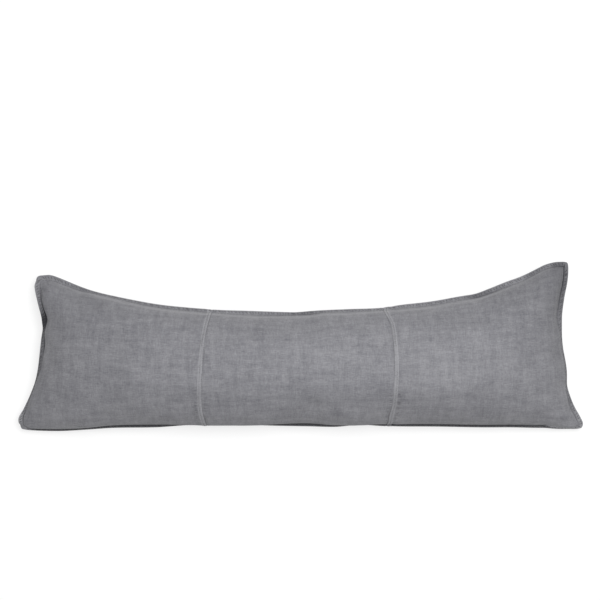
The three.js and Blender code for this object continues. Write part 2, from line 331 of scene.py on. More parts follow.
@dataclass(frozen=True)
class PillowForm:
    """The filled case's form, as the frame's solid has it: edge seams, panel seams, crown and flange."""

    flange_width: float = 0.012
    flange_thickness: float = 0.0028
    corner_squareness: tuple[float, ...] = (3.0, 3.0, 2.5, 4.0)
    end_round: float = 0.205
    section_fullness: float = 0.94
    back_fullness: float = 0.8
    floor_blend: float = 0.014
    long_bulge_at: float = 0.14
    end_tuck_at: float = 0.28
    flange_tuck: float = 0.007
    flank: Bump = Bump(0.15, 0.13, 0.006)
    bottom_edge: tuple[EdgePoint, ...] = (
        BOTTOM_LEFT,
        EdgePoint(-0.575, -0.1715, 0.042, 64, 0.001),
        EdgePoint(-0.553, -0.1725, 0.046, 65, 0.002),
        EdgePoint(-0.510, -0.1725, 0.053, 65, 0.003),
        EdgePoint(-0.455, -0.1695, 0.059, 68, 0.005),
        EdgePoint(-0.400, -0.1635, 0.0645, 58, 0.004),
        EdgePoint(-0.300, -0.161, 0.070, 56, 0.004),
        EdgePoint(-0.240, -0.1605, 0.0725, 78, 0.008),
        EdgePoint(-0.140, -0.160, 0.0755, 82, 0.009),
        EdgePoint(-0.085, -0.1605, 0.076, 78, 0.008),
        EdgePoint(0.020, -0.158, 0.076, 52, 0.002),
        EdgePoint(0.075, -0.162, 0.0755, 69, 0.006),
        EdgePoint(0.125, -0.160, 0.075, 80, 0.009),
        EdgePoint(0.180, -0.160, 0.0735, 64, 0.004),
        EdgePoint(0.285, -0.160, 0.070, 58, 0.003),
        EdgePoint(0.390, -0.162, 0.0655, 57, 0.003),
        EdgePoint(0.445, -0.162, 0.0615, 55, 0.001),
        EdgePoint(0.500, -0.1635, 0.056, 53),
        EdgePoint(0.521, -0.1635, 0.053, 50, 0.001),
        EdgePoint(0.543, -0.167, 0.049, 58),
        EdgePoint(0.575, -0.170, 0.045, 72),
        BOTTOM_RIGHT,
    )
    top_edge: tuple[EdgePoint, ...] = (
        TOP_LEFT,
        EdgePoint(-0.530, 0.1405, 0.050, 8),
        EdgePoint(-0.515, 0.136, 0.053, 10),
        EdgePoint(-0.490, 0.1265, 0.0565, 22),
        EdgePoint(-0.465, 0.1175, 0.0595, 36),
        EdgePoint(-0.450, 0.1145, 0.061, 54, 0.001),
        EdgePoint(-0.420, 0.108, 0.0635, 66, 0.001),
        EdgePoint(-0.395, 0.1025, 0.066, 66, 0.001),
        EdgePoint(-0.360, 0.094, 0.069, 58, 0.001),
        EdgePoint(-0.300, 0.0825, 0.0725, 53, 0.001),
        EdgePoint(-0.240, 0.076, 0.075, 52, 0.001),
        EdgePoint(-0.170, 0.0705, 0.077, 51, 0.001),
        EdgePoint(-0.105, 0.067, 0.0785, 40, 0.001),
        EdgePoint(-0.042, 0.0655, 0.079, 45, 0.001),
        EdgePoint(-0.010, 0.066, 0.079, 53, 0.001),
        EdgePoint(0.021, 0.0675, 0.079, 46, 0.001),
        EdgePoint(0.052, 0.072, 0.0785, 62, 0.001),
        EdgePoint(0.100, 0.073, 0.078, 56, 0.001),
        EdgePoint(0.180, 0.077, 0.0765, 58, 0.001),
        EdgePoint(0.210, 0.080, 0.0755, 44, 0.001),
        EdgePoint(0.275, 0.087, 0.073, 41, 0.001),
        EdgePoint(0.340, 0.0985, 0.070, 41, 0.001),
        EdgePoint(0.370, 0.1025, 0.068, 34, 0.001),
        EdgePoint(0.400, 0.1125, 0.065, 12, 0.001),
        EdgePoint(0.433, 0.1255, 0.062, 8),
        EdgePoint(0.466, 0.1375, 0.0585, 16),
        EdgePoint(0.492, 0.150, 0.055, 24),
        EdgePoint(0.517, 0.1625, 0.052, 24),
        EdgePoint(0.538, 0.168, 0.050, 18),
        TOP_RIGHT,
    )
    left_edge: tuple[EdgePoint, ...] = (
        BOTTOM_LEFT,
        EdgePoint(-0.5872, -0.161, 0.0415, 18),
        EdgePoint(-0.5875, -0.155, 0.0425, 12),
        EdgePoint(-0.5865, -0.148, 0.0445, 22),
        EdgePoint(-0.581, -0.135, 0.0475, 45),
        EdgePoint(-0.576, -0.122, 0.0505, 56),
        EdgePoint(-0.571, -0.109, 0.054, 66),
        EdgePoint(-0.5655, -0.096, 0.057, 68),
        EdgePoint(-0.5555, -0.071, 0.0625, 68),
        EdgePoint(-0.5455, -0.045, 0.0655, 44),
        EdgePoint(-0.541, -0.020, 0.067, 36),
        EdgePoint(-0.5365, 0.006, 0.068, 24),
        EdgePoint(-0.538, 0.030, 0.0675, 55),
        EdgePoint(-0.535, 0.044, 0.066, 45),
        EdgePoint(-0.5327, 0.0565, 0.0645, -10),
        EdgePoint(-0.537, 0.069, 0.0625, -45),
        EdgePoint(-0.542, 0.082, 0.0605, -52),
        EdgePoint(-0.5485, 0.107, 0.055, -48),
        EdgePoint(-0.550, 0.120, 0.0525, -30),
        EdgePoint(-0.551, 0.1325, 0.0485, 0),
        TOP_LEFT,
    )
    right_edge: tuple[EdgePoint, ...] = (
        BOTTOM_RIGHT,
        EdgePoint(0.5855, -0.156, 0.044, 10),
        EdgePoint(0.5785, -0.143, 0.047, 10),
        EdgePoint(0.5703, -0.130, 0.050, 12),
        EdgePoint(0.566, -0.118, 0.053, 32),
        EdgePoint(0.5625, -0.105, 0.056, 44),
        EdgePoint(0.5592, -0.092, 0.059, 55),
        EdgePoint(0.557, -0.079, 0.0625, 62),
        EdgePoint(0.556, -0.054, 0.067, 60),
        EdgePoint(0.552, -0.028, 0.071, 60),
        EdgePoint(0.547, -0.003, 0.073, 62),
        EdgePoint(0.545, 0.030, 0.0725, 64),
        EdgePoint(0.542, 0.048, 0.0715, 44),
        EdgePoint(0.540, 0.061, 0.070, 30),
        EdgePoint(0.542, 0.086, 0.066, 22),
        EdgePoint(0.5465, 0.111, 0.060, 18),
        EdgePoint(0.5527, 0.137, 0.054, 16),
        EdgePoint(0.5555, 0.156, 0.050, 18),
        TOP_RIGHT,
    )
    panel_seams: tuple[PanelSeams, ...] = (
        PanelSeams(0.0, -0.195, 0.1815),
        PanelSeams(0.08, -0.198, 0.1835),
        PanelSeams(0.18, -0.2005, 0.187),
        PanelSeams(0.35, -0.201, 0.1885),
        PanelSeams(0.55, -0.1985, 0.190),
        PanelSeams(0.75, -0.195, 0.1885),
        PanelSeams(0.9, -0.1915, 0.1845),
        PanelSeams(1.0, -0.187, 0.1745),
    )
    crown: tuple[Crown, ...] = (
        Crown(-0.560, 0.084, 0.082),
        Crown(-0.300, 0.095, 0.096),
        Crown(0.000, 0.099, 0.100),
        Crown(0.300, 0.097, 0.096),
        Crown(0.560, 0.086, 0.082),
    )

    def ribs(self, across: np.ndarray) -> np.ndarray:
        """Work out where the left end, the panel seams and the right end lie along the length.

        Args:
            across: shares of the way across.

        Returns:
            Four rows of places, one for each rib.
        """
        left_y = BOTTOM_LEFT.y + (TOP_LEFT.y - BOTTOM_LEFT.y) * across
        right_y = BOTTOM_RIGHT.y + (TOP_RIGHT.y - BOTTOM_RIGHT.y) * across
        seams = SmoothTable(self.panel_seams, "across").read(across)
        left = SmoothTable(self.left_edge, "y").read(left_y)["x"]
        right = SmoothTable(self.right_edge, "y").read(right_y)["x"]
        return np.array((left, seams["left"], seams["right"], right))

    @property
    def middle_ribs(self) -> np.ndarray:
        """The ribs half way across."""
        return self.ribs(np.array([0.5]))[:, 0]

    def edge_place(self, along: np.ndarray, across: float) -> np.ndarray:
        """Return where places along the length lie on the bottom edge or the top edge, 0 or 1 across."""
        return read_curve(self.middle_ribs, self.ribs(np.array([across]))[:, 0], along)

    def from_end(self, along: np.ndarray) -> np.ndarray:
        """Return how far places along the length lie from the nearer end."""
        left, _, _, right = self.middle_ribs
        return np.minimum(along - left, right - along)

    def rise(self, along: np.ndarray) -> np.ndarray:
        """Return the share of the crown's rise from the nearer end."""
        return np.sqrt(1 - (1 - np.clip(self.from_end(along) / self.end_round, 0, 1)) ** 2)

    @staticmethod
    def bulge_shape(share: np.ndarray, most_at: float) -> np.ndarray:
        """Return how far the face stands over a seam: most at a share of the way, and fading beyond it."""
        return share / most_at * np.exp(1 - share / most_at)

    def rest_on_floor(self, height: np.ndarray) -> np.ndarray:
        """Return heights with those under the floor raised to it, through a smooth round."""
        over = np.clip((height + self.floor_blend) / (2 * self.floor_blend), 0, 1)
        return np.where(height > self.floor_blend, height, self.floor_blend * over**2)

    def place(self, spots: Spots) -> np.ndarray:
        """Work out where spots of the cloth lie, before the fine relief of its sewing.

        Args:
            spots: the places on the cloth.

        Returns:
            An array of points, one row each.
        """
        rise = self.rise(spots.along)
        across = spots.across
        bottom = SmoothTable(self.bottom_edge, "x").read(self.edge_place(spots.along, 0.0))
        top = SmoothTable(self.top_edge, "x").read(self.edge_place(spots.along, 1.0))
        x = read_curve(self.middle_ribs, self.ribs(across), spots.along)
        y = bottom["y"] + (top["y"] - bottom["y"]) * across
        left, right = (SmoothTable(edge, "y").read(y) for edge in (self.left_edge, self.right_edge))
        end = either(spots.along < 0, left, right)
        inner_z = bottom["z"] + (top["z"] - bottom["z"]) * across
        z = end["z"] + (inner_z - end["z"]) * rise
        sheet = Sheet(np.stack((x, y, z), axis=1), rise, bottom, top, end)
        on_edge = (rise == 0) | spots.on_long_seam
        return np.where(on_edge[:, None], self.margin(spots, sheet), self.body(spots, sheet))

    def body(self, spots: Spots, sheet: Sheet) -> np.ndarray:
        """Work out the points of the filled part, inside the edge seams.

        Args:
            spots: the places on the cloth.
            sheet: where the edges put them.

        Returns:
            An array of points, one row each.
        """
        x, y, z = sheet.points.T
        rise, bottom, top, end = sheet.rise, sheet.bottom, sheet.top, sheet.end
        turn_rise = spots.turn_rise
        end_turn = np.arcsin(rise) / (math.pi / 2)
        bottom_shape = self.bulge_shape(spots.turn, self.long_bulge_at) * rise
        top_shape = self.bulge_shape(1 - spots.turn, self.long_bulge_at) * rise
        end_shape = self.bulge_shape(end_turn, self.end_tuck_at) * turn_rise * np.sign(spots.along)
        crown = SmoothTable(self.crown, "x").read(x)
        half = self.flange_thickness / 2
        flank = self.flank.over(spots.across) * turn_rise
        front = np.stack(
            (
                x,
                y + top["bulge"] * top_shape - bottom["bulge"] * bottom_shape,
                z + half + (crown["front"] * turn_rise**self.section_fullness - flank) * rise,
            ),
            axis=1,
        )
        tucks = [self.flange_tuck * np.sin(np.radians(edge["lean"])) for edge in (bottom, top, end)]
        back = np.stack(
            (
                x - tucks[2] * end_shape,
                y + tucks[0] * bottom_shape - tucks[1] * top_shape,
                self.rest_on_floor(z - half - crown["back"] * turn_rise**self.back_fullness * rise),
            ),
            axis=1,
        )
        return np.where((spots.side > 0)[:, None], front, back)

    @staticmethod
    def lean_frame(outward: np.ndarray, lean: np.ndarray) -> tuple[np.ndarray, np.ndarray]:
        """Work out a leaning flange's directions.

        Args:
            outward: the level directions out of the edge seam, one row each.
            lean: how far the flange leans down from them, in degrees.

        Returns:
            The directions out along its width, and square to its face side.
        """
        angle = np.radians(lean)[:, None]
        up = np.array([[0.0, 0.0, 1.0]])
        out = outward * np.cos(angle) - up * np.sin(angle)
        face = outward * np.sin(angle) + up * np.cos(angle)
        return out, face

    def margin(self, spots: Spots, sheet: Sheet) -> np.ndarray:
        """Work out the points of the edge seam and of the flange outside it.

        Args:
            spots: the places on the cloth.
            sheet: where the edges put them.

        Returns:
            An array of points, one row each.
        """
        nothing = np.zeros(len(sheet.points))
        long_lean = np.where(spots.below, sheet.bottom["lean"], sheet.top["lean"])
        end_out = np.stack((np.sign(spots.along), nothing, nothing), axis=1)
        long_out = np.stack((nothing, np.sign(spots.turn - 0.5), nothing), axis=1)
        end_out, end_face = self.lean_frame(end_out, sheet.end["lean"])
        long_out, long_face = self.lean_frame(long_out, long_lean)
        end_share, long_share = np.abs(spots.end_flange), np.abs(spots.long_flange)
        power = spots.by_corner(self.corner_squareness)
        spread = (end_share**power + long_share**power) ** (1 / power)
        rounding = np.where(spread > 0, spots.flange / np.maximum(spread, TINY), 0)
        face = end_face * (sheet.rise == 0)[:, None] + long_face * spots.on_long_seam[:, None]
        face /= np.maximum(np.linalg.norm(face, axis=1, keepdims=True), TINY)
        width = self.flange_width * rounding
        return (
            sheet.points
            + end_out * (width * end_share)[:, None]
            + long_out * (width * long_share)[:, None]
            + face * (spots.side * self.flange_thickness / 2)[:, None]
        )


class Field:
    """A value that changes over a surface: one node socket, whose operators add Math nodes."""

    def __init__(self, tree: "ShaderTree", socket: bpy.types.NodeSocket) -> None:
        """Wrap a socket of the tree."""
        self.tree = tree
        self.socket = socket

    def math_node(self, operation: str, *values: Any) -> "Field":
        """Add a Math node for an operation on values and fields."""
        return self.tree.add("ShaderNodeMath", {"operation": operation}, dict(enumerate(values)))

    def __add__(self, other: Any) -> "Field":
        """Sum."""
        return self.math_node("ADD", self, other)

    __radd__ = __add__

    def __sub__(self, other: Any) -> "Field":
        """Difference."""
        return self.math_node("SUBTRACT", self, other)

    def __rsub__(self, other: Any) -> "Field":
        """Difference, from a number."""
        return self.math_node("SUBTRACT", other, self)

    def __mul__(self, other: Any) -> "Field":
        """Product."""
        return self.math_node("MULTIPLY", self, other)

    __rmul__ = __mul__

    def sine(self) -> "Field":
        """Sine."""
        return self.math_node("SINE", self)

    def clamped(self) -> "Field":
        """The value held between 0 and 1."""
        return self.tree.add("ShaderNodeClamp", {}, {"Value": self})

    def as_share(self) -> "Field":
        """A noise about 0, turned into a share from 0 to 1."""
        return (self * 0.5 + 0.5).clamped()


class ShaderTree:
    """A material's node tree, filled by expressions on fields."""

    MIX_SHARE, MIX_LOW, MIX_HIGH = 0, 6, 7
    MIX_COLOUR = 2

    def __init__(self, name: str) -> None:
        """Start a new material with an empty tree.

        Args:
            name: the material's name.
        """
        self.material = bpy.data.materials.new(name)
        self.material.use_nodes = True
        self.nodes = self.material.node_tree.nodes
        self.links = self.material.node_tree.links
        self.nodes.clear()

    def node(self, kind: str, settings: dict[str, Any], inputs: dict[Any, Any]) -> bpy.types.Node:
        """Add a node.

        Args:
            kind: the node's type.
            settings: its own settings, which are set first.
            inputs: values or fields, by the name or number of their socket.

        Returns:
            The node.
        """
        made = self.nodes.new(kind)
        for name, value in settings.items():
            setattr(made, name, value)
        for name, value in inputs.items():
            if isinstance(value, Field):
                self.links.new(value.socket, made.inputs[name])
            else:
                made.inputs[name].default_value = value
        return made

    def add(self, kind: str, settings: dict[str, Any], inputs: dict[Any, Any], output: Any = 0) -> Field:
        """Add a node and return one of its outputs as a field, by the output's name or number."""
        return Field(self, self.node(kind, settings, inputs).outputs[output])

    def noise(self, place: Field, scale: Sequence[float], depth: float = 0.0, detail: float = 2.0) -> Field:
        """Add a noise about 0, mostly within -1 and 1.

        Args:
            place: where it is read.
            scale: how many features lie in a metre along each axis.
            depth: shift along the third axis, where the noise is another one.
            detail: how many finer noises are added to it.

        Returns:
            The noise.
        """
        mapping = {"Vector": place, "Scale": scale, "Location": (0, 0, depth)}
        inputs = {"Vector": self.add("ShaderNodeMapping", {}, mapping), "Scale": 1.0, "Detail": detail}
        return self.add("ShaderNodeTexNoise", {"noise_dimensions": "3D"}, inputs, "Fac") * 2 - 1

    def mixed(self, share: Any, low: Any, high: Any) -> Field:
        """Return a mix of two colours."""
        inputs = {self.MIX_SHARE: share, self.MIX_LOW: low, self.MIX_HIGH: high}
        return self.add("ShaderNodeMix", {"data_type": "RGBA"}, inputs, self.MIX_COLOUR)

    def attribute(self, name: str) -> Field:
        """Return a number that is stored on the mesh."""
        return self.add("ShaderNodeAttribute", {"attribute_name": name}, {}, "Fac")

    def finish(self, inputs: dict[str, Any]) -> bpy.types.Material:
        """Close the tree with a Principled shader.

        Args:
            inputs: the shader's values or fields.

        Returns:
            The material.
        """
        shader = self.add("ShaderNodeBsdfPrincipled", {}, inputs)
        self.node("ShaderNodeOutputMaterial", {}, {"Surface": shader})
        return self.material


def grey(value: float, blue: float = 0.0) -> tuple[float, float, float, float]:
    """Return a grey, with a little more blue."""
    return (value, value, value + blue, 1.0)


@dataclass(frozen=True)
class CrossedNoise:
    """Unevenness along both sets of threads: its width and length, depth in the noise and weights."""

    width: float
    length: float
    depth: float
    weft: float
    warp: float
    warp_depth: float = 17.3

    def over(self, tree: ShaderTree, cloth: Field) -> tuple[Field, Field]:
        """Make the noises.

        Args:
            tree: the material's tree.
            cloth: the place on the cut cloth.

        Returns:
            A noise stretched along the weft, and one stretched along the warp.
        """
        thin, long = 1 / self.width, 1 / self.length
        weft = tree.noise(cloth, (long, thin, 1), self.depth)
        warp = tree.noise(cloth, (thin, long, 1), self.depth + self.warp_depth)
        return weft, warp


@dataclass(frozen=True)
class CloudNoise:
    """Unevenness that is alike all ways: its size, its depth in the noise and its weight."""

    size: float
    depth: float
    weight: float

    def over(self, tree: ShaderTree, cloth: Field) -> Field:
        """Return the noise over the cut cloth."""
        return tree.noise(cloth, (1 / self.size,) * 3, self.depth)


@dataclass(frozen=True)
class GatherShadeTicks:
    """Short ticks of painted shade beside a seam's gathering: their sizes, how sharp they are and how dark.
    """

    width: float = 0.0032
    length: float = 0.016
    depth: float = 12.7
    gain: float = 3.2
    floor: float = 0.1
    shade: float = 0.60

    def over(self, tree: ShaderTree, cloth: Field) -> Field:
        """Return the ticks' painted shade over the cut cloth, where the mesh is marked for it."""
        ticks = tree.noise(cloth, (1 / self.length, 1 / self.width, 1), self.depth, detail=1)
        return tree.attribute(PAINTED_GATHER_SHADE) * (ticks * self.gain - self.floor).clamped() * self.shade


@dataclass(frozen=True)
class LinenFinish:
    """Heavy washed linen: uneven threads in plain weave, clouded by washing and worn pale where raised."""

    light: float = 0.240
    dark: float = 0.128
    # Pale colour for worn seams, also used for painted light.
    worn: float = 0.30
    worn_evenness: float = 0.8
    worn_mottle: float = 0.5
    # Near-black colour that painted shade darkens the linen towards.
    shade: float = 0.006
    blue: float = 0.014
    shade_blue: float = 0.0035
    middle: float = 0.5
    slubs: CrossedNoise = CrossedNoise(0.0017, 0.011, 0.0, 0.54, 0.42)
    streaks: CrossedNoise = CrossedNoise(0.0048, 0.030, 2.3, 0.26, 0.22)
    clouds: CrossedNoise = CrossedNoise(0.014, 0.060, 5.9, 0.36, 0.32)
    mottle: CloudNoise = CloudNoise(0.0032, 3.1, 0.34)
    wash: CloudNoise = CloudNoise(0.10, 8.4, 0.20)
    ticks: GatherShadeTicks = GatherShadeTicks()
    thread_pitch: float = 0.0011
    wander: float = 0.9
    wander_scale: float = 90.0
    wander_depth: float = 1.7
    weave_height: float = 0.00035
    weave_strength: float = 0.7
    weave_share: float = 0.6
    slub_share: float = 0.5
    roughness: float = 0.9
    roughness_spread: float = 0.05
    gloss: float = 0.25
    sheen: float = 0.12
    sheen_roughness: float = 0.5

    def make(self) -> bpy.types.Material:
        """Make the linen, which follows the cut cloth.

        Returns:
            The material.
        """
        tree = ShaderTree("washed_linen")
        cloth = tree.add("ShaderNodeUVMap", {"uv_map": UV_MAP}, {}, "UV")
        weft, warp = self.slubs.over(tree, cloth)
        mottle, wash = self.mottle.over(tree, cloth), self.wash.over(tree, cloth)
        tone = self.middle + weft * self.slubs.weft + warp * self.slubs.warp + mottle * self.mottle.weight
        for uneven in (self.streaks, self.clouds):
            along_weft, along_warp = uneven.over(tree, cloth)
            tone += along_weft * uneven.weft + along_warp * uneven.warp
        tone = (tone + wash * self.wash.weight).clamped()
        colour = tree.mixed(tone, grey(self.dark, self.blue), grey(self.light, self.blue))
        # Paler where worn and where light is painted.
        worn = (tree.attribute(WORN_AND_PAINTED_LIGHT) * (self.worn_evenness + mottle * self.worn_mottle)).clamped()
        colour = tree.mixed(worn, colour, grey(self.worn, self.blue))
        # Painted shade from the mesh, with the painted gathering ticks, darkens the colour.
        crease = (tree.attribute(PAINTED_SHADE) + self.ticks.over(tree, cloth)).clamped()
        colour = tree.mixed(crease, colour, grey(self.shade, self.shade_blue))
        height = self.weave(tree, cloth) * self.weave_share + (weft + warp) * self.slub_share
        bump = {"Strength": self.weave_strength, "Distance": self.weave_height, "Height": height}
        return tree.finish(
            {
                "Base Color": colour,
                "Roughness": (self.roughness + warp * self.roughness_spread).clamped(),
                "Specular IOR Level": self.gloss,
                "Sheen Weight": self.sheen,
                "Sheen Roughness": self.sheen_roughness,
                "Normal": tree.add("ShaderNodeBump", {}, bump),
            }
        )

    def weave(self, tree: ShaderTree, cloth: Field) -> Field:
        """Make the height of a plain weave, whose threads go over and under each other in turn.

        Args:
            tree: the material's tree.
            cloth: the place on the cut cloth.

        Returns:
            Heights from -1 to 1.
        """
        scale = (self.wander_scale, self.wander_scale, 1)
        wander = tree.noise(cloth, scale, self.wander_depth, detail=1) * self.wander
        parts = tree.node("ShaderNodeSeparateXYZ", {}, {"Vector": cloth})
        half_turns = math.pi / self.thread_pitch
        along = (Field(tree, parts.outputs["X"]) * half_turns + wander).sine()
        across = (Field(tree, parts.outputs["Y"]) * half_turns + wander).sine()
        return along * across


@dataclass(frozen=True)
class ThreadFinish:
    """Matt sewing thread, a little darker than the linen."""

    tone: float = 0.095
    spread: float = 0.25
    shade: float = 0.006
    blue: float = 0.006
    fuzz_scale: float = 900.0
    roughness: float = 0.85
    gloss: float = 0.25

    def make(self) -> bpy.types.Material:
        """Make the thread, which takes the painted shade of the cloth under it.

        Returns:
            The material.
        """
        tree = ShaderTree("linen_thread")
        place = tree.add("ShaderNodeTexCoord", {}, {}, "Object")
        fuzz = tree.noise(place, (self.fuzz_scale,) * 3).as_share()
        low, high = (grey(self.tone * (1 + side * self.spread), self.blue) for side in (-1, 1))
        # The thread takes the cloth's painted shade.
        shade = tree.attribute(PAINTED_SHADE).clamped()
        colour = tree.mixed(shade, tree.mixed(fuzz, low, high), grey(self.shade))
        return tree.finish(
            {"Base Color": colour, "Roughness": self.roughness, "Specular IOR Level": self.gloss}
        )


@dataclass(frozen=True)
class FloorFinish:
    """A plain pale studio floor, lit a little from within so that shadows on it stay faint."""

    tone: float = 0.27
    evenness: float = 0.995
    cloud_scale: float = 3.0
    roughness: float = 0.9
    gloss: float = 0.1
    glow: float = 0.71

    def make(self) -> bpy.types.Material:
        """Make the floor's finish.

        Returns:
            The material.
        """
        tree = ShaderTree("pale_floor")
        place = tree.add("ShaderNodeTexCoord", {}, {}, "Object")
        cloud = tree.noise(place, (self.cloud_scale,) * 3).as_share()
        return tree.finish(
            {
                "Base Color": tree.mixed(cloud, grey(self.tone * self.evenness), grey(self.tone)),
                "Roughness": self.roughness,
                "Specular IOR Level": self.gloss,
                "Emission Color": grey(1.0),
                "Emission Strength": self.glow,
            }
        )


def new_object(name: str, shape: bmesh.types.BMesh, material: bpy.types.Material) -> bpy.types.Object:
    """Turn a bmesh into an object of the scene, smooth shaded.

    Args:
        name: the object's name.
        shape: its mesh, which is freed.
        material: its finish.

    Returns:
        The object.
    """
    mesh = bpy.data.meshes.new(name)
    shape.to_mesh(mesh)
    shape.free()
    mesh.materials.append(material)
    mesh.shade_smooth()
    made = bpy.data.objects.new(name, mesh)
    bpy.context.scene.collection.objects.link(made)
    return made


@dataclass(frozen=True)
class FelledSeam:
    """A felled panel seam's relief, wear and painted shade, at distances out from it towards the nearer end.
    """

    rows: tuple[float, ...] = (
        -0.007, -0.0035, -0.0012, 0, 0.0012, 0.003, 0.005, 0.0066, 0.008, 0.0096, 0.0125
    )
    start: float = 0.0002
    relief_stop: float = 0.0098
    relief_slope: float = 0.0016
    worn_stop: float = 0.0094
    worn_slope: float = 0.0008
    height: float = 0.0010
    flattened: float = 0.75
    ditch: Bump = Bump(-0.0004, 0.0014, 0.0006)
    stitched: Bump = Bump(0.0070, 0.0010, 0.0003)
    pucker: SoftWave = SoftWave((0.02, 0.0045, 0.02), 4.0)
    pucker_reach: Bump = Bump(0.012, 0.012)
    pucker_height: float = 0.0006
    edge_pucker_height: float = 0.0014
    worn: float = 0.40
    worn_sides: tuple[Bump, ...] = (Bump(0.0014, 0.0013, 0.28), Bump(0.0080, 0.0012, 0.28))
    ditch_shade: Bump = Bump(-0.0008, 0.0011)
    open_shade: float = 0.02
    bottom_shade: float = 0.8
    top_shade: float = 0.4
    shade_power: float = 0.6
    gathers: tuple[Bump, ...] = (Bump(0.0130, 0.0040), Bump(-0.0045, 0.0030, 0.7))
    gather_start: float = 0.45
    gather_reach: float = 0.25

    def band(self, out: np.ndarray, stop: float, slope: float) -> np.ndarray:
        """Return 1 on the doubled band and 0 off it, through slopes of the given width at its two sides."""
        return np.clip((out - self.start) / slope, 0, 1) * np.clip((stop - out) / slope, 0, 1)

    def worn_band(self, out: np.ndarray) -> np.ndarray:
        """Return the doubled band as far as its wear shows."""
        return self.band(out, self.worn_stop, self.worn_slope)

    def relief(self, out: np.ndarray, near_edge: np.ndarray, points: np.ndarray) -> np.ndarray:
        """Work out how far the seam raises the face.

        Args:
            out: distances out from the seam.
            near_edge: shares that rise to 1 at the long seams.
            points: where the cloth lies.

        Returns:
            Heights over the plain cloth.
        """
        raised = self.height * self.band(out, self.relief_stop, self.relief_slope)
        raised *= 1 - self.flattened * near_edge
        pucker = self.pucker.over(points) * self.pucker_reach.over(out)
        pucker *= self.pucker_height + self.edge_pucker_height * near_edge
        return raised - self.ditch.over(out) - self.stitched.over(out) + pucker

    def wear(self, out: np.ndarray) -> np.ndarray:
        """Return how worn and pale the doubled band is, most along its two sides."""
        return self.worn_band(out) * (self.worn + sum(side.over(out) for side in self.worn_sides))

    def shade(self, out: np.ndarray, near_edge: np.ndarray, below: np.ndarray) -> np.ndarray:
        """Work out the painted shade in the seam's ditch, deeper towards the long seams.

        Args:
            out: distances out from the seam.
            near_edge: shares that rise to 1 at the long seams.
            below: whether the bottom seam is the nearer one.

        Returns:
            Shares from 0 to 1.
        """
        deepest = np.where(below, self.bottom_shade, self.top_shade)
        return (self.open_shade + deepest * near_edge**self.shade_power) * self.ditch_shade.over(out)

    def gathered(self, out: np.ndarray, across: np.ndarray) -> np.ndarray:
        """Return how much painted shade of gathering the cloth beside the seam's lower part takes."""
        low = np.clip((self.gather_start - across) / self.gather_reach, 0, 1)
        return low * sum(side.over(out) for side in self.gathers)


